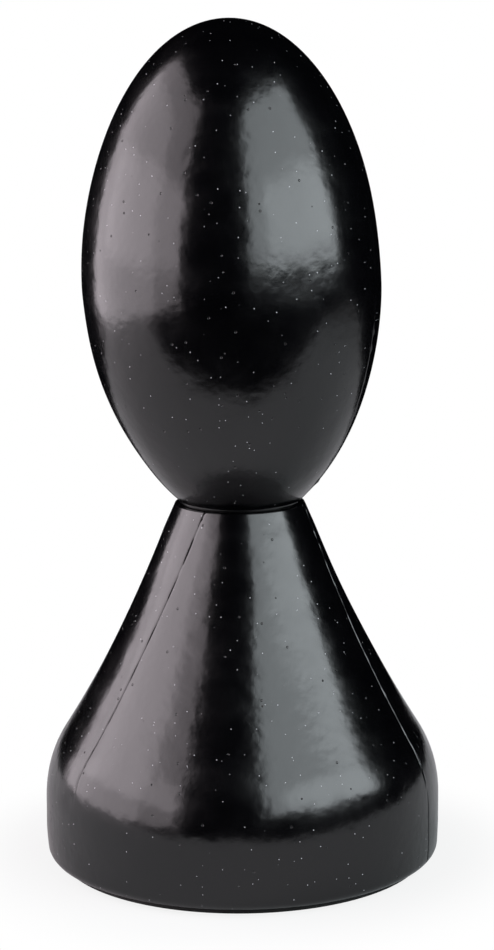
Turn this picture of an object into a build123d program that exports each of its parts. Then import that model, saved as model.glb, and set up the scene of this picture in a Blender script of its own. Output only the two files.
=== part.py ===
"""Giant garden chess pawn: an egg-shaped head that screws into a flared base weighted with sand.

Millimetres, +Z up. The origin is the middle of the foot ring, on the ground.
Every piece but the six plate screws is turned about Z, so most sections are half sections (radius, height).
"""

import os
from math import cos, pi, sin, sqrt

from build123d import *

# Overall form
overall_height = 430.0
base_radius = 101.5
neck_radius = 33.3
neck_height = 186.5
head_radius = 75.3
head_widest_height = 298.0
mouth_inset = 2.3

# Base outline: an upright rim, a shoulder arc, then a hollow flank up to the neck
foot_height = 3.0
rim_edge_radius = 5.0
rim_top = 33.5
shoulder_radius = 62.0
shoulder_turn = 32.0
neck_edge_radius = 0.8

# Head outline: an upright lip, a full lower flank and an elliptical crown
mouth_lip = 1.5
flank_fullness = 1.7
flank_points = 6
crown_points = 6

# Walls and general clearances
shell_wall = 4.0
fit_gap = 0.3
neck_gap = 0.3
thread_sink = 0.4

# Head thread: a coarse moulded thread, male on the spigot and female in the socket
neck_pitch = 8.0
neck_thread_inset = 12.3
neck_thread_depth = 2.0
neck_thread_base = 4.8
neck_thread_crest = 2.8
neck_thread_gap = 0.6
neck_thread_turns = 2.0
spigot_length = 28.0
spigot_wall = 4.0
spigot_barrel_step = 3.0
spigot_collar_width = 3.1
spigot_collar_height = 3.0
head_floor = 8.0

# Neck socket and its seal, let into the top of the base
neck_deck = 12.0
socket_flange_inset = 3.8
socket_flange_height = 3.0
socket_wall = 2.9
socket_length = 30.0
neck_seal_height = 2.0
neck_seal_width = 5.0

# Base plate, let into the underside of the base
plate_inset = 6.9
plate_gap = 0.4
plate_thickness = 4.0
plate_rise = 0.5
gasket_thickness = 1.0
flange_width = 25.0
flange_thickness = 4.0
web_inset = 1.0
web_rise = 6.0
web_thickness = 3.0
rib_count = 12
rib_thickness = 2.5
recess_radius = 38.0
recess_height = 27.0

# Foot ring
foot_width = 8.4
foot_gap = 0.2
foot_seat_depth = 2.0
foot_groove_count = 2
foot_groove_width = 1.2
foot_groove_depth = 0.8

# Filler cap, its seal and the threaded filler neck in the base plate
cap_pitch = 5.0
cap_thread_root = 15.0
cap_thread_depth = 1.6
cap_thread_base = 3.0
cap_thread_crest = 1.6
cap_thread_gap = 0.6
cap_thread_turns = 1.5
filler_thread_turns = 2.2
filler_neck_wall = 3.5
filler_neck_length = 14.0
cap_flange_width = 5.8
cap_flange_height = 4.0
cap_flange_notches = 16
cap_notch_radius = 1.5
cap_grip_length = 40.0
cap_grip_width = 8.0
cap_grip_height = 8.5
cap_stem_length = 16.5
cap_stem_wall = 3.0
filler_seal_height = 1.5
filler_seal_width = 4.8

# Plate screws
screw_count = 6
screw_inset = 16.6
screw_radius = 2.2
screw_length = 20.0
screw_head_radius = 4.8
screw_point = 3.0
screw_slot_length = 5.2
screw_slot_width = 1.1
screw_slot_depth = 1.6
screw_hole_gap = 0.4
screw_pilot_gap = 0.1
boss_radius = 6.0
boss_height = 14.0

# Sand
sand_level = 75.0

# Heights and radii that follow from the sizes above
mouth_radius = neck_radius - mouth_inset
neck_thread_root = neck_radius - neck_thread_inset
spigot_barrel_radius = neck_thread_root + spigot_barrel_step
socket_flange_radius = neck_radius - socket_flange_inset
plate_radius = base_radius - plate_inset
plate_seat_radius = plate_radius + plate_gap
flange_inner_radius = plate_seat_radius - flange_width
web_radius = flange_inner_radius - web_inset
screw_circle_radius = plate_radius - screw_inset
foot_outer_radius = plate_radius - foot_gap
foot_inner_radius = foot_outer_radius - foot_width
foot_land_width = (foot_width - foot_groove_count * foot_groove_width) / (foot_groove_count + 1)
head_bottom = neck_height + neck_gap
flank_bottom = head_bottom + mouth_lip
flank_span = head_widest_height - flank_bottom
flank_reach = flank_span / (1 - (mouth_radius / head_radius) ** 2) ** (1 / flank_fullness)
spigot_thread_start = head_bottom - spigot_length + neck_thread_base
collar_radius = spigot_barrel_radius + spigot_collar_width
collar_seat_radius = collar_radius + fit_gap
socket_bore = neck_thread_root + neck_thread_depth + neck_thread_gap
socket_radius = socket_bore + socket_wall
socket_flange_top = neck_height + neck_gap - neck_seal_height
socket_flange_bottom = socket_flange_top - socket_flange_height
deck_bottom = neck_height - neck_deck
plate_bottom = foot_height + plate_rise
plate_top = plate_bottom + plate_thickness
flange_bottom = plate_top + gasket_thickness
flange_top = flange_bottom + flange_thickness
web_bottom = plate_bottom + web_rise
web_top = web_bottom + web_thickness
recess_top = recess_height + web_thickness
filler_bore = cap_thread_root + cap_thread_depth + cap_thread_gap
filler_neck_radius = filler_bore + filler_neck_wall
cap_flange_radius = filler_bore + cap_flange_width
filler_thread_start = recess_height + cap_thread_base
filler_neck_top = recess_top + filler_neck_length
cap_flange_top = recess_height - filler_seal_height
cap_flange_bottom = cap_flange_top - cap_flange_height


def base_section(inset, bottom, top):
    """Half section of the base body with its outline moved inwards by inset, kept between two heights."""
    with BuildSketch() as section:
        with BuildLine():
            rim = Line((base_radius, 0), (base_radius, rim_top))
            shoulder = CenterArc((base_radius - shoulder_radius, rim_top), shoulder_radius, 0, shoulder_turn)
            flank = TangentArc(shoulder @ 1, (neck_radius, neck_height), tangent=shoulder % 1)
            Polyline(flank @ 1, (0, neck_height), (0, 0), rim @ 0)
        make_face()
        if inset:
            offset(amount=-inset)
            with Locations((0, bottom)):
                Rectangle(inset + 1, top - bottom, align=(Align.MIN, Align.MIN))
        with Locations((0, bottom)):
            Rectangle(2 * base_radius, top - bottom, align=(Align.MIN, Align.MIN), mode=Mode.INTERSECT)
    return section.sketch


def head_flank_radius(height, inset):
    """Radius of the head's lower flank at a height, with the outline moved inwards by inset."""
    depth = (head_widest_height - height) / (flank_reach - inset)
    return (head_radius - inset) * sqrt(1 - depth**flank_fullness)


def head_section(inset, bottom, lip):
    """Half section of the head with its outline moved inwards by inset, from height bottom up."""
    start = bottom + lip
    step = (head_widest_height - start) / flank_points
    heights = [start + step * n for n in range(flank_points + 1)]
    flank = [Vector(head_flank_radius(height, inset), height) for height in heights]
    slope = Vector(head_flank_radius(start + 0.1, inset), start + 0.1) - flank[0]
    crown_height = overall_height - inset - head_widest_height
    angles = [pi / 2 * n / crown_points for n in range(crown_points + 1)]
    crown = [
        Vector((head_radius - inset) * cos(angle), head_widest_height + crown_height * sin(angle))
        for angle in angles
    ]
    with BuildSketch() as section:
        with BuildLine():
            Spline(*flank, tangents=[slope, (0, 1)])
            Spline(*crown, tangents=[(0, 1), (-1, 0)])
            Polyline(crown[-1], (0, bottom), (flank[0].X, bottom))
            if lip:
                Line((flank[0].X, bottom), flank[0])
        make_face()
    return section.sketch


def thread_ridge(wall_radius, depth, base_width, crest_width, pitch, start, turns):
    """Right-hand helical ridge on a wall: a positive depth stands outwards, a negative one inwards."""
    root = -thread_sink if depth > 0 else thread_sink
    with BuildPart() as ridge:
        with BuildLine() as path:
            Helix(pitch, pitch * turns, wall_radius, center=(0, 0, start))
        with BuildSketch(Plane(origin=path.line @ 0, x_dir=(1, 0, 0), z_dir=path.line % 0)):
            Polygon(
                (root, -base_width / 2),
                (0, -base_width / 2),
                (depth, -crest_width / 2),
                (depth, crest_width / 2),
                (0, base_width / 2),
                (root, base_width / 2),
                align=None,
            )
        sweep(path=path.line, is_frenet=True)
    return ridge.part


# Head shell: hollow egg with a thick floor around its mouth and a seat for the spigot's collar
head_outside = head_section(0, head_bottom, mouth_lip)
head_inside = head_section(shell_wall, head_bottom + head_floor, 0)
with BuildPart() as head_shell:
    with BuildSketch(Plane.XZ):
        add(head_outside)
    revolve(axis=Axis.Z)
    fillet(head_shell.edges().filter_by(GeomType.CIRCLE).group_by(Axis.Z)[0], neck_edge_radius)
    with BuildSketch(Plane.XZ):
        add(head_inside)
    revolve(axis=Axis.Z, mode=Mode.SUBTRACT)
    with Locations((0, 0, head_bottom)):
        Cylinder(
            collar_seat_radius,
            spigot_collar_height + fit_gap,
            align=(Align.CENTER, Align.CENTER, Align.MIN),
            mode=Mode.SUBTRACT,
        )
        Cylinder(
            spigot_barrel_radius + fit_gap,
            head_floor,
            align=(Align.CENTER, Align.CENTER, Align.MIN),
            mode=Mode.SUBTRACT,
        )

# Head spigot: barrel and collar held in the head's mouth, threaded skirt below
spigot_thread = thread_ridge(
    neck_thread_root,
    neck_thread_depth,
    neck_thread_base,
    neck_thread_crest,
    neck_pitch,
    spigot_thread_start,
    neck_thread_turns,
)
with BuildPart() as head_spigot:
    with BuildSketch(Plane.XZ):
        Polygon(
            (0, head_bottom - spigot_length),
            (neck_thread_root, head_bottom - spigot_length),
            (neck_thread_root, head_bottom),
            (collar_radius, head_bottom),
            (collar_radius, head_bottom + spigot_collar_height),
            (spigot_barrel_radius, head_bottom + spigot_collar_height),
            (spigot_barrel_radius, head_bottom + head_floor),
            (neck_thread_root - spigot_wall, head_bottom + head_floor),
            (neck_thread_root - spigot_wall, head_bottom - spigot_length + spigot_wall),
            (0, head_bottom - spigot_length + spigot_wall),
            align=None,
        )
    revolve(axis=Axis.Z)
    add(spigot_thread)

# Neck seal: flat rubber ring between the spigot's collar and the socket's flange
with BuildPart() as neck_seal:
    with BuildSketch(Plane.XY.offset(socket_flange_top)):
        Circle(socket_flange_radius - fit_gap)
        Circle(socket_flange_radius - fit_gap - neck_seal_width, mode=Mode.SUBTRACT)
    extrude(amount=neck_seal_height)

# Neck socket: flanged threaded bush in the top of the base
socket_thread = thread_ridge(
    socket_bore,
    -neck_thread_depth,
    neck_thread_base,
    neck_thread_crest,
    neck_pitch,
    spigot_thread_start - neck_pitch / 2,
    neck_thread_turns,
)
with BuildPart() as neck_socket:
    with BuildSketch(Plane.XZ):
        Polygon(
            (socket_bore, socket_flange_top - socket_length),
            (socket_radius, socket_flange_top - socket_length),
            (socket_radius, socket_flange_bottom),
            (socket_flange_radius, socket_flange_bottom),
            (socket_flange_radius, socket_flange_top),
            (socket_bore, socket_flange_top),
            align=None,
        )
    revolve(axis=Axis.Z)
    add(socket_thread)

# Base shell: hollow flared body, thick neck deck, inward flange and screw bosses at the bottom
base_outside = base_section(0, foot_height, neck_height)
base_inside = base_section(shell_wall, flange_top, deck_bottom)
with BuildPart() as base_shell:
    with BuildSketch(Plane.XZ):
        add(base_outside)
    revolve(axis=Axis.Z)
    rims = base_shell.edges().filter_by(GeomType.CIRCLE)
    fillet(rims.group_by(Axis.Z)[0], rim_edge_radius)
    fillet(base_shell.edges().filter_by(GeomType.CIRCLE).group_by(Axis.Z)[-1], neck_edge_radius)
    with BuildSketch(Plane.XZ):
        add(base_inside)
    revolve(axis=Axis.Z, mode=Mode.SUBTRACT)
    with BuildSketch(Plane.XY.offset(foot_height)):
        Circle(plate_seat_radius)
    extrude(amount=flange_bottom - foot_height, mode=Mode.SUBTRACT)
    with BuildSketch(Plane.XY.offset(flange_bottom)):
        Circle(flange_inner_radius)
    extrude(amount=flange_thickness, mode=Mode.SUBTRACT)
    with BuildSketch(Plane.XY.offset(flange_top)):
        with PolarLocations(screw_circle_radius, screw_count):
            Circle(boss_radius)
    extrude(amount=boss_height)
    with BuildSketch(Plane.XY.offset(flange_bottom)):
        with PolarLocations(screw_circle_radius, screw_count):
            Circle(screw_radius + screw_pilot_gap)
    extrude(amount=screw_length, mode=Mode.SUBTRACT)
    with BuildSketch(Plane.XY.offset(deck_bottom)):
        Circle(socket_radius + fit_gap)
    extrude(amount=neck_deck, mode=Mode.SUBTRACT)
    with BuildSketch(Plane.XY.offset(socket_flange_bottom)):
        Circle(socket_flange_radius + fit_gap)
    extrude(amount=neck_height - socket_flange_bottom, mode=Mode.SUBTRACT)

# Base plate: screwed rim, raised web with ribs, central recess with the threaded filler neck
filler_thread = thread_ridge(
    filler_bore,
    -cap_thread_depth,
    cap_thread_base,
    cap_thread_crest,
    cap_pitch,
    filler_thread_start,
    filler_thread_turns,
)
with BuildPart() as base_plate:
    with BuildSketch(Plane.XZ):
        Polygon(
            (recess_radius, plate_bottom),
            (recess_radius + web_thickness, plate_bottom),
            (recess_radius + web_thickness, web_bottom),
            (web_radius - web_thickness, web_bottom),
            (web_radius - web_thickness, plate_bottom),
            (foot_inner_radius - fit_gap, plate_bottom),
            (foot_inner_radius - fit_gap, plate_bottom + foot_seat_depth),
            (plate_radius, plate_bottom + foot_seat_depth),
            (plate_radius, plate_top),
            (web_radius, plate_top),
            (web_radius, web_top),
            (recess_radius + web_thickness, web_top),
            (recess_radius + web_thickness, recess_top),
            (filler_neck_radius, recess_top),
            (filler_neck_radius, filler_neck_top),
            (filler_bore, filler_neck_top),
            (filler_bore, recess_height),
            (recess_radius, recess_height),
            align=None,
        )
    revolve(axis=Axis.Z)
    with BuildSketch(Plane.XY.offset(plate_bottom + plate_rise)):
        with PolarLocations(recess_radius + web_thickness / 2, rib_count):
            Rectangle(
                web_radius - recess_radius - web_thickness,
                rib_thickness,
                align=(Align.MIN, Align.CENTER),
            )
    extrude(until=Until.NEXT)
    add(filler_thread)
    with Locations(Plane.XY.offset(plate_bottom).rotated((180, 0, 0))):
        with PolarLocations(screw_circle_radius, screw_count):
            CounterSinkHole(
                screw_radius + screw_hole_gap,
                screw_head_radius + screw_hole_gap,
                plate_thickness,
            )

# Plate gasket: thin ring between the plate and the base flange
with BuildPart() as plate_gasket:
    with BuildSketch(Plane.XY.offset(plate_top)):
        Circle(plate_radius)
        Circle(flange_inner_radius + fit_gap, mode=Mode.SUBTRACT)
        with PolarLocations(screw_circle_radius, screw_count):
            Circle(screw_radius + screw_hole_gap, mode=Mode.SUBTRACT)
    extrude(amount=gasket_thickness)

# Plate screws: countersunk, cross-slotted, pointed
with BuildPart() as plate_screw:
    with BuildSketch(Plane.XZ):
        Polygon(
            (0, 0),
            (screw_head_radius, 0),
            (screw_radius, screw_head_radius - screw_radius),
            (screw_radius, screw_length - screw_point),
            (0, screw_length),
            align=None,
        )
    revolve(axis=Axis.Z)
    with BuildSketch(Plane.XY):
        Rectangle(screw_slot_length, screw_slot_width)
        Rectangle(screw_slot_width, screw_slot_length)
    extrude(amount=screw_slot_depth, mode=Mode.SUBTRACT)
with BuildPart() as plate_screws:
    with Locations((0, 0, plate_bottom)):
        with PolarLocations(screw_circle_radius, screw_count):
            add(plate_screw.part)

# Foot ring: rubber ring seated in the plate's rebate, with round grooves in its tread
with BuildPart() as foot_ring:
    with BuildSketch(Plane.XY):
        Circle(foot_outer_radius)
        Circle(foot_inner_radius, mode=Mode.SUBTRACT)
    extrude(amount=plate_bottom + foot_seat_depth)
    for groove in range(foot_groove_count):
        groove_outer = foot_outer_radius - foot_land_width - groove * (foot_land_width + foot_groove_width)
        with BuildSketch(Plane.XY):
            Circle(groove_outer)
            Circle(groove_outer - foot_groove_width, mode=Mode.SUBTRACT)
        extrude(amount=foot_groove_depth, mode=Mode.SUBTRACT)

# Filler cap: notched flange with a grip bar below and a hollow threaded stem above
cap_thread = thread_ridge(
    cap_thread_root,
    cap_thread_depth,
    cap_thread_base,
    cap_thread_crest,
    cap_pitch,
    filler_thread_start + cap_pitch / 2,
    cap_thread_turns,
)
with BuildPart() as filler_cap:
    with BuildSketch(Plane.XY.offset(cap_flange_bottom)):
        Circle(cap_flange_radius)
        with PolarLocations(cap_flange_radius, cap_flange_notches):
            Circle(cap_notch_radius, mode=Mode.SUBTRACT)
    extrude(amount=cap_flange_height)
    with BuildSketch(Plane.XY.offset(cap_flange_bottom - cap_grip_height)):
        SlotOverall(cap_grip_length, cap_grip_width)
    extrude(amount=cap_grip_height)
    with BuildSketch(Plane.XY.offset(cap_flange_top)):
        Circle(cap_thread_root)
    extrude(amount=cap_stem_length)
    with BuildSketch(Plane.XY.offset(cap_flange_top + cap_stem_wall)):
        Circle(cap_thread_root - cap_stem_wall)
    extrude(amount=cap_stem_length, mode=Mode.SUBTRACT)
    add(cap_thread)

# Filler seal: flat rubber ring on the cap's flange
with BuildPart() as filler_seal:
    with BuildSketch(Plane.XY.offset(cap_flange_top)):
        Circle(filler_bore + filler_seal_width)
        Circle(filler_bore, mode=Mode.SUBTRACT)
    extrude(amount=filler_seal_height)

# Sand: fills the bottom of the base around the filler neck, clear of the screw bosses
sand_section = base_section(shell_wall + fit_gap, flange_top + fit_gap, sand_level)
with BuildPart() as sand_fill:
    with BuildSketch(Plane.XZ):
        add(sand_section)
    revolve(axis=Axis.Z)
    with BuildSketch(Plane.XY):
        Circle(recess_radius + web_thickness + fit_gap)
    extrude(amount=recess_top + fit_gap, mode=Mode.SUBTRACT)
    with BuildSketch(Plane.XY):
        Circle(filler_neck_radius + fit_gap)
    extrude(amount=filler_neck_top + fit_gap, mode=Mode.SUBTRACT)
    with BuildSketch(Plane.XY):
        with PolarLocations(screw_circle_radius, screw_count):
            Circle(boss_radius + fit_gap)
    extrude(amount=flange_top + boss_height + fit_gap, mode=Mode.SUBTRACT)

pieces = {
    "head_shell": head_shell,
    "head_spigot": head_spigot,
    "neck_seal": neck_seal,
    "neck_socket": neck_socket,
    "base_shell": base_shell,
    "base_plate": base_plate,
    "plate_gasket": plate_gasket,
    "plate_screws": plate_screws,
    "foot_ring": foot_ring,
    "filler_cap": filler_cap,
    "filler_seal": filler_seal,
    "sand_fill": sand_fill,
}
os.makedirs("parts", exist_ok=True)
for name, piece in pieces.items():
    piece.part.label = name
    export_step(piece.part, f"parts/{name}.step")
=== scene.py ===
"""Giant garden chess pawn in gloss black moulded plastic, standing on a white studio sweep."""

import math

import bmesh
import bpy
from mathutils import Matrix, Vector


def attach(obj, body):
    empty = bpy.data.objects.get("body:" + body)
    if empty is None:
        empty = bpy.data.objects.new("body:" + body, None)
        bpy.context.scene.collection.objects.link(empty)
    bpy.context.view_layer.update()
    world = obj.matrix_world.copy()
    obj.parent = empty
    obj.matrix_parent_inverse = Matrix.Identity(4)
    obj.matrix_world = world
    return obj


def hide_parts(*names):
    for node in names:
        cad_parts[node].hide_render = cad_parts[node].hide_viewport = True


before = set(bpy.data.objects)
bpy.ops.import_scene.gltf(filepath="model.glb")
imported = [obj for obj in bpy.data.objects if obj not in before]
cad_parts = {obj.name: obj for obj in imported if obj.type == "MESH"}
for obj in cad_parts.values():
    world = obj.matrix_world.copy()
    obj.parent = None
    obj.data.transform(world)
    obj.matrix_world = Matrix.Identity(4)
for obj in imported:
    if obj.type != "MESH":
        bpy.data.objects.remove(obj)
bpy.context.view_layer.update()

MM = 0.001

# Outline sizes in millimetres, the same as the two moulded shells of the frame
OVERALL_HEIGHT = 430.0
BASE_RADIUS = 101.5
NECK_RADIUS = 33.3
NECK_HEIGHT = 186.5
FOOT_HEIGHT = 3.0
RIM_EDGE = 5.0
RIM_TOP = 33.5
SHOULDER_RADIUS = 62.0
SHOULDER_TURN = math.radians(32)
HEAD_RADIUS = 75.3
HEAD_WIDEST = 298.0
HEAD_BOTTOM = 186.8
MOUTH_RADIUS = 31.0
MOUTH_LIP = 1.5
FLANK_FULLNESS = 1.7
EDGE_ROUND = 0.8
WALL = 4.0
SPIN_STEPS = 180
RIM_ROWS = (13.0, 18.0, 23.0, 28.0)
LIP_ROUND = 0.25

# Seats and bores that the smaller pieces sit in, in millimetres
PLATE_SEAT_RADIUS = 95.0
FLANGE_RADIUS = 70.0
FLANGE_BOTTOM = 8.5
FLANGE_TOP = 12.5
SOCKET_SEAT_RADIUS = 29.8
SOCKET_SEAT_HEIGHT = 181.8
SOCKET_BORE_RADIUS = 26.8
DECK_BOTTOM = 174.5
COLLAR_SEAT_RADIUS = 27.4
COLLAR_SEAT_DEPTH = 3.3
SPIGOT_BORE_RADIUS = 24.3
HEAD_FLOOR = 8.0


def linear(hex_colour):
    """Linear RGBA of an sRGB hex colour."""
    channels = [int(hex_colour[i : i + 2], 16) / 255 for i in (1, 3, 5)]
    return [c / 12.92 if c <= 0.04045 else ((c + 0.055) / 1.055) ** 2.4 for c in channels] + [1.0]


def add_node(tree, kind, inputs=None, **settings):
    """Adds a node with its settings, and fills or links its inputs."""
    node = tree.nodes.new(kind)
    for key, value in settings.items():
        setattr(node, key, value)
    for key, value in (inputs or {}).items():
        if isinstance(value, bpy.types.NodeSocket):
            tree.links.new(value, node.inputs[key])
        else:
            node.inputs[key].default_value = value
    return node


def smooth_step(value, low, high):
    """Runs smoothly from 0 at low to 1 at high."""
    t = min(max((value - low) / (high - low), 0.0), 1.0)
    return t * t * (3 - 2 * t)


def hump(value, middle, half_width):
    """A rounded bump of height 1 at the middle that falls to 0 at the half width."""
    t = min(abs(value - middle) / half_width, 1.0)
    return (1 - t * t) ** 2


# ---------------------------------------------------------------- outlines


def arc(centre, radius, start, end, steps):
    """Points on an arc of the half section, from one angle to another."""
    turn = (end - start) / steps
    return [
        (centre[0] + radius * math.cos(start + turn * n), centre[1] + radius * math.sin(start + turn * n))
        for n in range(steps + 1)
    ]


def base_flank(inset, steps):
    """The hollow flank of the base: an arc tangent to the shoulder that ends at the neck."""
    start = Vector(
        (
            BASE_RADIUS - SHOULDER_RADIUS + SHOULDER_RADIUS * math.cos(SHOULDER_TURN),
            RIM_TOP + SHOULDER_RADIUS * math.sin(SHOULDER_TURN),
        )
    )
    outward = Vector((math.cos(SHOULDER_TURN), math.sin(SHOULDER_TURN)))
    chord = Vector((NECK_RADIUS, NECK_HEIGHT)) - start
    reach = chord.length_squared / (2 * chord.dot(outward))
    centre = start + outward * reach
    last = Vector((NECK_RADIUS, NECK_HEIGHT)) - centre
    first_angle = math.pi + SHOULDER_TURN
    last_angle = math.atan2(last.y, last.x) % (2 * math.pi)
    return arc(centre, abs(reach) + inset, first_angle, last_angle, steps)


def base_outline():
    """Closed half section of the base shell: outside up to the neck, then back down the inside."""
    shoulder_centre = (BASE_RADIUS - SHOULDER_RADIUS, RIM_TOP)
    outside = [(PLATE_SEAT_RADIUS, FOOT_HEIGHT)]
    outside += arc((BASE_RADIUS - RIM_EDGE, FOOT_HEIGHT + RIM_EDGE), RIM_EDGE, -math.pi / 2, 0, 6)
    outside += [(BASE_RADIUS, height) for height in RIM_ROWS]
    outside += arc(shoulder_centre, SHOULDER_RADIUS, 0, SHOULDER_TURN, 12)
    outside += base_flank(0, 36)[1:-1]
    outside += [
        (NECK_RADIUS + 0.1, NECK_HEIGHT - EDGE_ROUND),
        (NECK_RADIUS - 0.15, NECK_HEIGHT - LIP_ROUND),
        (NECK_RADIUS - EDGE_ROUND, NECK_HEIGHT),
    ]
    socket_seat = [
        (SOCKET_SEAT_RADIUS, NECK_HEIGHT),
        (SOCKET_SEAT_RADIUS, SOCKET_SEAT_HEIGHT),
        (SOCKET_BORE_RADIUS, SOCKET_SEAT_HEIGHT),
        (SOCKET_BORE_RADIUS, DECK_BOTTOM),
    ]
    inside = [point for point in reversed(base_flank(WALL, 14)) if point[1] < DECK_BOTTOM - 1.5]
    inside = [(inside[0][0] - 0.3, DECK_BOTTOM)] + inside
    inside += arc(shoulder_centre, SHOULDER_RADIUS - WALL, SHOULDER_TURN, 0, 5)[1:]
    flange = [
        (BASE_RADIUS - WALL, FLANGE_TOP),
        (FLANGE_RADIUS, FLANGE_TOP),
        (FLANGE_RADIUS, FLANGE_BOTTOM),
        (PLATE_SEAT_RADIUS, FLANGE_BOTTOM),
    ]
    return outside + socket_seat + inside + flange


def head_flank(inset, low, steps):
    """The full lower flank of the head, from the height low up to the widest height."""
    span = HEAD_WIDEST - HEAD_BOTTOM - MOUTH_LIP
    reach = span / (1 - (MOUTH_RADIUS / HEAD_RADIUS) ** 2) ** (1 / FLANK_FULLNESS) - inset
    heights = [low + (HEAD_WIDEST - low) * n / steps for n in range(steps + 1)]
    return [
        ((HEAD_RADIUS - inset) * math.sqrt(1 - ((HEAD_WIDEST - z) / reach) ** FLANK_FULLNESS), z)
        for z in heights
    ]


def head_crown(inset, steps):
    """The crown of the head: a quarter ellipse from the widest height to the top."""
    rise = OVERALL_HEIGHT - inset - HEAD_WIDEST
    return [
        (
            (HEAD_RADIUS - inset) * math.cos(math.pi / 2 * n / steps),
            HEAD_WIDEST + rise * math.sin(math.pi / 2 * n / steps),
        )
        for n in range(steps)
    ] + [(0.0, OVERALL_HEIGHT - inset)]


def head_outline():
    """Half section of the head shell: outside down from the top, round the mouth, and up the inside."""
    outside = head_flank(0, HEAD_BOTTOM + MOUTH_LIP, 40) + head_crown(0, 40)[1:]
    inside = head_flank(WALL, HEAD_BOTTOM + HEAD_FLOOR, 14) + head_crown(WALL, 14)[1:]
    mouth = [
        (MOUTH_RADIUS, HEAD_BOTTOM + EDGE_ROUND),
        (MOUTH_RADIUS - LIP_ROUND, HEAD_BOTTOM + LIP_ROUND),
        (MOUTH_RADIUS - EDGE_ROUND, HEAD_BOTTOM),
        (COLLAR_SEAT_RADIUS, HEAD_BOTTOM),
        (COLLAR_SEAT_RADIUS, HEAD_BOTTOM + COLLAR_SEAT_DEPTH),
        (SPIGOT_BORE_RADIUS, HEAD_BOTTOM + COLLAR_SEAT_DEPTH),
        (SPIGOT_BORE_RADIUS, HEAD_BOTTOM + HEAD_FLOOR),
    ]
    return list(reversed(outside)) + mouth + inside


# ---------------------------------------------------------------- shells


def spin_outline(bm, outline, closed):
    """Turns a half section about the upright axis into a closed solid."""
    rim = [bm.verts.new((radius * MM, 0.0, height * MM)) for radius, height in outline]
    edges = [bm.edges.new(pair) for pair in zip(rim, rim[1:])]
    if closed:
        edges.append(bm.edges.new((rim[-1], rim[0])))
    bmesh.ops.spin(
        bm,
        geom=rim + edges,
        cent=(0, 0, 0),
        axis=(0, 0, 1),
        dvec=(0, 0, 0),
        angle=2 * math.pi,
        steps=SPIN_STEPS,
        use_merge=True,
        use_duplicate=False,
    )
    bmesh.ops.remove_doubles(bm, verts=bm.verts[:], dist=2e-6)
    bmesh.ops.recalc_face_normals(bm, faces=bm.faces[:])


def cut_seam(bm, point, across, offsets, chosen):
    """Cuts edge loops along a mould parting line, at several distances from its plane."""
    for offset in offsets:
        faces = [face for face in bm.faces if chosen(face.calc_center_median())]
        edges = {edge for face in faces for edge in face.edges}
        verts = {vert for face in faces for vert in face.verts}
        bmesh.ops.bisect_plane(
            bm,
            geom=list(verts) + list(edges) + faces,
            dist=2e-6,
            plane_co=point + across * offset * MM,
            plane_no=across,
        )


def raise_seam(bm, point, across, chosen, height_at, half_width):
    """Lifts a fine ridge, or sinks a groove where the height is negative, along a parting line."""
    bm.normal_update()
    moves = []
    for vert in bm.verts:
        outward = vert.normal.x * vert.co.x + vert.normal.y * vert.co.y > 0
        if outward and chosen(vert.co):
            offset = (vert.co - point).dot(across) / MM
            lift = hump(offset, 0.0, half_width) * height_at(vert.co.z / MM)
            if lift:
                moves.append((vert, vert.normal * lift * MM))
    for vert, move in moves:
        vert.co += move


def finish_mesh(bm, name, material, body, replaced):
    """Makes the finished piece, smooth but crisp at its real edges, and hands it to the frame."""
    mesh = bpy.data.meshes.new(name)
    bmesh.ops.triangulate(bm, faces=[face for face in bm.faces if len(face.verts) > 4])
    bm.to_mesh(mesh)
    bm.free()
    piece = bpy.data.objects.new(name, mesh)
    bpy.context.scene.collection.objects.link(piece)
    mesh.materials.append(material)
    mesh.shade_smooth()
    mesh.set_sharp_from_angle(angle=math.radians(38))
    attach(piece, body)
    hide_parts(replaced)
    return piece


# Distances from a parting line's plane at which edge loops are cut, in millimetres
SEAM_OFFSETS = (-1.6, -0.8, -0.4, 0.0, 0.4, 0.8, 1.6)

# Parting lines of the base: each plane's point on the Y axis, its direction and its half width in millimetres
LEFT_LINE_Y = -21.5
LEFT_LINE_ACROSS = (-0.39, 1.0, 0.0)
LEFT_LINE_HALF_WIDTH = 0.7
RIGHT_LINE_Y = 8.5
RIGHT_LINE_ACROSS = (0.494, 1.0, 0.0)
RIGHT_LINE_HALF_WIDTH = 0.9

# The small dent at the left of the shoulder: azimuth and half width in degrees, the rest in millimetres
DENT_AZIMUTH = -60.0
DENT_HALF_ANGLE = 4.5
DENT_HEIGHT = 44.0
DENT_HALF_HEIGHT = 3.2
DENT_DEPTH = 0.5

# Between foot and neck the base stands this far proud of the frame's shell, in millimetres
BASE_FULLNESS = 0.5

# Screw bosses inside the base, in metres
BOSS_COUNT = 6
BOSS_CIRCLE = 0.078
BOSS_HEIGHT = 0.0195
BOSS_LENGTH = 0.0139


def on_left_line(co):
    """True on the left front of the base, where its left parting line runs."""
    return co.x < -0.012 and co.y < -0.014


def on_right_line(co):
    """True on the right front of the base, where its right parting line runs."""
    return co.x > 0.022 and co.y < 0.004


def left_groove(z):
    """The left line is a fine groove on the flank, trimmed away on the rim."""
    return (-0.34 - 0.1 * math.sin(z * 0.31)) * smooth_step(z, 44.0, 58.0)


def right_ridge(z):
    """The right line is a light ridge on the flank that becomes a groove down the rim."""
    return -0.55 + 1.0 * smooth_step(z, RIM_TOP + 0.5, 52.0) + 0.12 * math.sin(z * 0.7)


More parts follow.
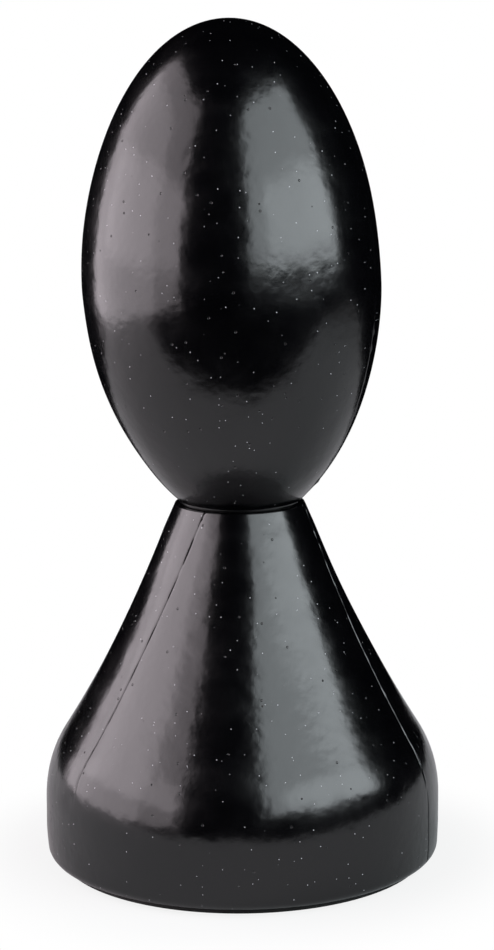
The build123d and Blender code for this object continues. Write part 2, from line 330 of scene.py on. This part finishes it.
def make_base(material):
    """Base shell with its two parting lines, screw bosses and the slight unevenness of a large moulding."""
    bm = bmesh.new()
    spin_outline(bm, base_outline(), closed=True)

    left_point = Vector((0.0, LEFT_LINE_Y * MM, 0.0))
    left_across = Vector(LEFT_LINE_ACROSS).normalized()
    cut_seam(bm, left_point, left_across, SEAM_OFFSETS, on_left_line)
    right_point = Vector((0.0, RIGHT_LINE_Y * MM, 0.0))
    right_across = Vector(RIGHT_LINE_ACROSS).normalized()
    cut_seam(bm, right_point, right_across, SEAM_OFFSETS, on_right_line)
    raise_seam(bm, left_point, left_across, on_left_line, left_groove, LEFT_LINE_HALF_WIDTH)
    raise_seam(bm, right_point, right_across, on_right_line, right_ridge, RIGHT_LINE_HALF_WIDTH)

    # The small dent, and low waves round the rim and flank
    bm.normal_update()
    for vert in bm.verts:
        if vert.normal.x * vert.co.x + vert.normal.y * vert.co.y <= 0:
            continue
        height = vert.co.z / MM
        turn = math.atan2(vert.co.x, -vert.co.y)
        wave = 0.16 * math.sin(3 * turn + 0.035 * height) + 0.07 * math.sin(7 * turn - 0.09 * height)
        dent = hump(math.degrees(turn), DENT_AZIMUTH, DENT_HALF_ANGLE)
        dent *= -DENT_DEPTH * hump(height, DENT_HEIGHT, DENT_HALF_HEIGHT)
        fade = smooth_step(height, 9.0, 16.0) * (1 - smooth_step(height, 172.0, 184.0))
        vert.co += vert.normal * (wave + BASE_FULLNESS + dent) * fade * MM

    for n in range(BOSS_COUNT):
        boss_turn = Matrix.Rotation(2 * math.pi * n / BOSS_COUNT, 4, "Z")
        bmesh.ops.create_cone(
            bm,
            cap_ends=True,
            segments=24,
            radius1=0.006,
            radius2=0.0058,
            depth=BOSS_LENGTH,
            matrix=Matrix.Translation(boss_turn @ Vector((BOSS_CIRCLE, 0.0, BOSS_HEIGHT))),
        )
    return finish_mesh(bm, "base_body", material, "base", "base_shell")


# The head's parting line: azimuth in degrees, half width and the height above which it is gone in millimetres
HEAD_LINE_AZIMUTH = 71
HEAD_LINE_HALF_WIDTH = 0.9
HEAD_LINE_TOP = 412

# Nubs of flash left on that line, as (height, size) in millimetres
HEAD_NUBS = ((277.0, 0.55), (268.0, 0.45), (252.0, 0.25), (236.0, 0.6), (211.0, 0.45), (200.0, 0.5))
NUB_HALF_HEIGHT = 2.6

# The head's uneven shape: how far its lower left side swells and how far the top leans left, in millimetres
HEAD_SWELL = 1.2
HEAD_LEAN = 3.5


def on_head_line(co):
    """True away from the middle of the head, where its parting line runs."""
    return abs(co.x) > 0.006


def head_ridge(z):
    """Height of the head's parting line, with a few nubs where its flash was trimmed."""
    if z > HEAD_LINE_TOP:
        return 0.0
    low = 0.22 * (1 - smooth_step(z, 330.0, 400.0)) + 0.06 * math.sin(z * 0.8)
    return low + sum(size * hump(z, place, NUB_HALF_HEIGHT) for place, size in HEAD_NUBS)


def make_head(material):
    """Head shell with its parting line, flash nubs, slight lean and slightly fuller lower left side."""
    bm = bmesh.new()
    spin_outline(bm, head_outline(), closed=False)
    centre = Vector((0.0, 0.0, 0.0))
    line = math.radians(HEAD_LINE_AZIMUTH)
    across = Vector((math.cos(line), math.sin(line), 0.0))
    cut_seam(bm, centre, across, SEAM_OFFSETS, on_head_line)
    raise_seam(bm, centre, across, on_head_line, head_ridge, HEAD_LINE_HALF_WIDTH)
    for vert in bm.verts:
        height = vert.co.z / MM
        turn = math.atan2(vert.co.x, -vert.co.y)
        out = Vector((vert.co.x, vert.co.y, 0.0))
        radius = out.length / MM
        if radius > 1e-3:
            out.normalize()
            side = max(0.0, -math.sin(turn)) ** 2
            swell = HEAD_SWELL * side * hump(height, 248.0, 44.0)
            wave = 0.2 * math.sin(2 * turn + 0.02 * height) + 0.1 * math.sin(5 * turn - 0.05 * height)
            wave *= smooth_step(radius, 20.0, 50.0)
            vert.co += out * (swell + wave * smooth_step(height, 200.0, 230.0)) * MM
        vert.co.x -= HEAD_LEAN * MM * smooth_step(height, 188.0, 330.0)
    return finish_mesh(bm, "head_body", material, "head", "head_shell")


# ---------------------------------------------------------------- materials


def new_material(name):
    """A blank material with its output node."""
    material = bpy.data.materials.new(name)
    material.use_nodes = True
    material.node_tree.nodes.clear()
    output = add_node(material.node_tree, "ShaderNodeOutputMaterial")
    return material, material.node_tree, output


def speck_mask(tree, place, spacing_mm, radius_mm, share, seed):
    """Scattered round specks: 1 inside a speck and 0 outside, on a share of evenly scattered cells."""
    moved = add_node(tree, "ShaderNodeMapping", {"Vector": place, "Location": (seed, seed * 0.7, seed * 0.3)})
    cells = add_node(
        tree,
        "ShaderNodeTexVoronoi",
        {"Vector": moved.outputs["Vector"], "Scale": 1 / (spacing_mm * MM)},
    )
    inside = add_node(
        tree,
        "ShaderNodeMapRange",
        {
            "Value": cells.outputs["Distance"],
            "From Min": radius_mm / spacing_mm,
            "From Max": 0.5 * radius_mm / spacing_mm,
        },
        interpolation_type="SMOOTHSTEP",
    )
    split = add_node(tree, "ShaderNodeSeparateColor", {"Color": cells.outputs["Color"]})
    chosen = add_node(
        tree, "ShaderNodeMath", {0: split.outputs["Red"], 1: 1 - share}, operation="GREATER_THAN"
    )
    both = add_node(
        tree, "ShaderNodeMath", {0: inside.outputs["Result"], 1: chosen.outputs[0]}, operation="MULTIPLY"
    )
    return both.outputs[0]


PLASTIC_BLACK = "#020203"
DUST_GREY = "#b4b4b8"


def blow_moulded_gloss_black():
    """Black gloss polyethylene, blow moulded: a wet shine broken by orange peel, small pits and dust."""
    material, tree, output = new_material("blow_moulded_gloss_black_polyethylene")
    place = add_node(tree, "ShaderNodeTexCoord").outputs["Object"]
    # Orange peel about 3 mm across, over slower ripples about 14 mm across
    peel = add_node(tree, "ShaderNodeTexNoise", {"Vector": place, "Scale": 330.0, "Detail": 3.0})
    ripple = add_node(tree, "ShaderNodeTexNoise", {"Vector": place, "Scale": 70.0, "Detail": 2.0})
    pits = speck_mask(tree, place, 6.0, 0.7, 0.34, 0.0)
    dust = speck_mask(tree, place, 3.4, 0.32, 0.4, 2.3)
    bump = add_node(
        tree, "ShaderNodeBump", {"Height": ripple.outputs["Fac"], "Strength": 1.0, "Distance": 0.00034}
    )
    bump = add_node(
        tree,
        "ShaderNodeBump",
        {
            "Height": peel.outputs["Fac"],
            "Strength": 1.0,
            "Distance": 0.00005,
            "Normal": bump.outputs["Normal"],
        },
    )
    bump = add_node(
        tree,
        "ShaderNodeBump",
        {"Height": pits, "Strength": 1.0, "Distance": 0.00035, "Normal": bump.outputs["Normal"]},
        invert=True,
    )
    haze = add_node(
        tree,
        "ShaderNodeMapRange",
        {"Value": ripple.outputs["Fac"], "From Min": 0.3, "From Max": 0.7, "To Min": 0.15, "To Max": 0.22},
    )
    roughness = add_node(
        tree,
        "ShaderNodeMix",
        {"Factor": dust, "A": haze.outputs["Result"], "B": 0.9},
        data_type="FLOAT",
    )
    # Inputs 6 and 7 and output 2 are the two colours and the mixed colour
    colour = add_node(
        tree,
        "ShaderNodeMix",
        {0: dust, 6: linear(PLASTIC_BLACK), 7: linear(DUST_GREY)},
        data_type="RGBA",
    )
    shader = add_node(
        tree,
        "ShaderNodeBsdfPrincipled",
        {
            "Base Color": colour.outputs[2],
            "Roughness": roughness.outputs[0],
            "IOR": 1.52,
            "Normal": bump.outputs["Normal"],
        },
    )
    tree.links.new(shader.outputs[0], output.inputs["Surface"])
    return material


def grained_material(name, dark, light, grain_mm, depth_mm, roughness, metallic=0.0):
    """A plain material whose colour and height vary together with one fine grain."""
    material, tree, output = new_material(name)
    place = add_node(tree, "ShaderNodeTexCoord").outputs["Object"]
    grain = add_node(
        tree, "ShaderNodeTexNoise", {"Vector": place, "Scale": 1 / (grain_mm * MM), "Detail": 4.0}
    )
    ramp = add_node(tree, "ShaderNodeValToRGB", {"Fac": grain.outputs["Fac"]})
    ramp.color_ramp.elements[0].position = 0.35
    ramp.color_ramp.elements[0].color = linear(dark)
    ramp.color_ramp.elements[1].position = 0.65
    ramp.color_ramp.elements[1].color = linear(light)
    bump = add_node(
        tree,
        "ShaderNodeBump",
        {"Height": grain.outputs["Fac"], "Strength": 1.0, "Distance": depth_mm * MM},
    )
    shader = add_node(
        tree,
        "ShaderNodeBsdfPrincipled",
        {
            "Base Color": ramp.outputs["Color"],
            "Roughness": roughness,
            "Metallic": metallic,
            "Normal": bump.outputs["Normal"],
        },
    )
    tree.links.new(shader.outputs[0], output.inputs["Surface"])
    return material


gloss_black = blow_moulded_gloss_black()
# Injection moulded ABS with a fine spark-eroded texture: an even, dull sheen
moulded_abs = grained_material("injection_moulded_black_abs", "#161618", "#1f1f22", 0.8, 0.02, 0.45)
# EPDM rubber, moulded and lightly dusty: almost no shine
epdm_rubber = grained_material("moulded_epdm_rubber", "#0b0b0b", "#171716", 0.6, 0.03, 0.75)
# Bright zinc plate on steel: a soft metallic shine, faintly mottled
zinc_plate = grained_material("bright_zinc_plated_steel", "#a6a8a8", "#c4c6c4", 0.5, 0.004, 0.3, 1.0)
# Kiln-dried silica sand: loose grains, pale and uneven
silica_sand = grained_material("kiln_dried_silica_sand", "#a98f63", "#d8c49a", 0.7, 0.35, 0.95)

node_materials = {
    "head_spigot": moulded_abs,
    "neck_socket": moulded_abs,
    "base_plate": moulded_abs,
    "filler_cap": moulded_abs,
    "neck_seal": epdm_rubber,
    "plate_gasket": epdm_rubber,
    "filler_seal": epdm_rubber,
    "foot_ring": epdm_rubber,
    "plate_screws": zinc_plate,
    "sand_fill": silica_sand,
}
for node_name, node_material in node_materials.items():
    for material_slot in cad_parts[node_name].material_slots:
        material_slot.material = node_material

make_base(gloss_black)
make_head(gloss_black)

# ---------------------------------------------------------------- studio


def stage_mesh(name, bm, material):
    """Makes a studio piece that isn't part of the object."""
    mesh = bpy.data.meshes.new(name)
    bm.to_mesh(mesh)
    bm.free()
    mesh.materials.append(material)
    piece = bpy.data.objects.new(name, mesh)
    bpy.context.scene.collection.objects.link(piece)
    return piece


# The sweep burns out to white between these distances from the middle, in metres, and by these shares
SHADOW_INNER = 0.1
SHADOW_OUTER = 0.17
BURN_BY_OBJECT = 0.84
BURN_BEYOND = 1.0

# The sweep lies this far under the foot ring, so that the two faces don't meet, and is this wide, in metres
SWEEP_DROP = 0.0003
SWEEP_RADIUS = 6.0


def white_sweep():
    """White paper sweep. Seen by the camera it burns out to white, but keeps a soft contact shadow."""
    material, tree, output = new_material("matte_white_sweep_paper")
    paper = add_node(tree, "ShaderNodeBsdfDiffuse", {"Color": linear("#c2c2c2")})
    glow = add_node(tree, "ShaderNodeEmission", {"Color": (1, 1, 1, 1), "Strength": 1.0})
    path = add_node(tree, "ShaderNodeLightPath")
    place = add_node(tree, "ShaderNodeTexCoord").outputs["Object"]
    reach = add_node(tree, "ShaderNodeVectorMath", {0: place}, operation="LENGTH")
    burn = add_node(
        tree,
        "ShaderNodeMapRange",
        {
            "Value": reach.outputs["Value"],
            "From Min": SHADOW_INNER,
            "From Max": SHADOW_OUTER,
            "To Min": BURN_BY_OBJECT,
            "To Max": BURN_BEYOND,
        },
        interpolation_type="SMOOTHSTEP",
    )
    share = add_node(
        tree,
        "ShaderNodeMath",
        {0: path.outputs["Is Camera Ray"], 1: burn.outputs["Result"]},
        operation="MULTIPLY",
    )
    mixed = add_node(
        tree, "ShaderNodeMixShader", {0: share.outputs[0], 1: paper.outputs[0], 2: glow.outputs[0]}
    )
    # From below the paper is clear, so the underside can be looked at
    facing = add_node(tree, "ShaderNodeNewGeometry")
    clear = add_node(tree, "ShaderNodeBsdfTransparent")
    sided = add_node(
        tree,
        "ShaderNodeMixShader",
        {0: facing.outputs["Backfacing"], 1: mixed.outputs[0], 2: clear.outputs[0]},
    )
    tree.links.new(sided.outputs[0], output.inputs["Surface"])
    bm = bmesh.new()
    bmesh.ops.create_circle(
        bm,
        cap_ends=True,
        segments=96,
        radius=SWEEP_RADIUS,
        matrix=Matrix.Translation((0, 0, -SWEEP_DROP)),
    )
    return stage_mesh("white_sweep", bm, material)


def black_flags():
    """Black flags seen only in reflections: a hood over the set, and floor cloths in front and behind."""
    material, tree, output = new_material("black_flag_cloth")
    cloth = add_node(tree, "ShaderNodeBsdfDiffuse", {"Color": linear("#050505")})
    tree.links.new(cloth.outputs[0], output.inputs["Surface"])
    front, back, above_floor, radius, height = -0.345, 0.5, 0.002, 2.0, 3.5
    bm = bmesh.new()
    bmesh.ops.create_cone(
        bm,
        cap_ends=True,
        segments=64,
        radius1=radius,
        radius2=radius,
        depth=height,
        matrix=Matrix.Translation((0, 0, above_floor + height / 2)),
    )
    for edge in (front, back):
        bmesh.ops.bisect_plane(
            bm, geom=bm.verts[:] + bm.edges[:] + bm.faces[:], plane_co=(0, edge, 0), plane_no=(0, 1, 0)
        )
    bare_floor = [
        face
        for face in bm.faces
        if face.calc_center_median().z < 2 * above_floor and front < face.calc_center_median().y < back
    ]
    bmesh.ops.delete(bm, geom=bare_floor, context="FACES")
    hood = stage_mesh("black_flags", bm, material)
    hood.visible_camera = False
    hood.visible_diffuse = False
    hood.visible_transmission = False
    hood.visible_volume_scatter = False
    hood.visible_shadow = False
    return hood


def softbox(name, azimuth, distance, width, bottom, top, power, colour):
    """An upright softbox that faces the object. Azimuth 0 is in front, and positive is to the right."""
    light = bpy.data.lights.new(name, "AREA")
    light.shape = "RECTANGLE"
    light.size = width
    light.size_y = top - bottom
    light.energy = power
    light.color = linear(colour)[:3]
    lamp = bpy.data.objects.new(name, light)
    turn = math.radians(azimuth)
    lamp.location = (distance * math.sin(turn), -distance * math.cos(turn), (top + bottom) / 2)
    lamp.rotation_euler = (math.pi / 2, 0.0, turn)
    lamp.visible_camera = False
    bpy.context.scene.collection.objects.link(lamp)
    return lamp


white_sweep()
black_flags()

# Warm-white boxes on the left, cool-white ones on the right: azimuth in degrees, then distance from the
# object, width, bottom and top in metres, and power in watts. The low boxes brighten each highlight's
# lower part.
WARM_WHITE = "#fff4fb"
COOL_WHITE = "#f2fbff"
softbox("softbox_left", -81, 1.0, 1.85, 0.02, 1.9, 24.0, WARM_WHITE)
softbox("softbox_left_core", -92, 1.02, 1.25, 0.02, 1.35, 7.0, WARM_WHITE)
softbox("softbox_left_low", -74, 1.04, 1.5, 0.3, 0.8, 3.5, WARM_WHITE)
softbox("softbox_right", 50, 1.1, 1.54, 0.34, 2.0, 30.0, COOL_WHITE)
softbox("softbox_right_low", 58, 1.12, 1.3, 0.34, 0.85, 4.5, COOL_WHITE)

# A white room: full white where it is seen directly or in a reflection, and a faint fill light otherwise
ROOM_LIGHT = 0.15
world = bpy.data.worlds.new("studio_room")
bpy.context.scene.world = world
world.use_nodes = True
world.node_tree.nodes.clear()
sky_path = add_node(world.node_tree, "ShaderNodeLightPath")
seen = add_node(
    world.node_tree,
    "ShaderNodeMath",
    {0: sky_path.outputs["Is Camera Ray"], 1: sky_path.outputs["Is Glossy Ray"]},
    operation="MAXIMUM",
)
seen = add_node(
    world.node_tree,
    "ShaderNodeMath",
    {0: seen.outputs[0], 1: sky_path.outputs["Is Transmission Ray"]},
    operation="MAXIMUM",
)
strength = add_node(
    world.node_tree,
    "ShaderNodeMapRange",
    {"Value": seen.outputs[0], "To Min": ROOM_LIGHT, "To Max": 1.0},
)
sky = add_node(
    world.node_tree,
    "ShaderNodeBackground",
    {"Color": (1, 1, 1, 1), "Strength": strength.outputs["Result"]},
)
add_node(world.node_tree, "ShaderNodeOutputWorld", {"Surface": sky.outputs[0]})

CAMERA_LENS = 97.29
CAMERA_PLACE = Vector((0.0038, -1.287, 0.4427))
CAMERA_AIM_HEIGHT = 0.2002
CAMERA_ROLL = math.radians(-0.5)
camera_data = bpy.data.cameras.new("studio_camera")
camera_data.lens = CAMERA_LENS
camera_data.sensor_width = 36.0
camera_data.clip_end = 50.0
camera = bpy.data.objects.new("studio_camera", camera_data)
bpy.context.scene.collection.objects.link(camera)
pitch = math.atan2(CAMERA_PLACE.z - CAMERA_AIM_HEIGHT, -CAMERA_PLACE.y)
camera.matrix_world = (
    Matrix.Translation(CAMERA_PLACE)
    @ Matrix.Rotation(math.pi / 2 - pitch, 4, "X")
    @ Matrix.Rotation(CAMERA_ROLL, 4, "Z")
)
bpy.context.scene.camera = camera
bpy.context.scene.view_settings.view_transform = "Standard"
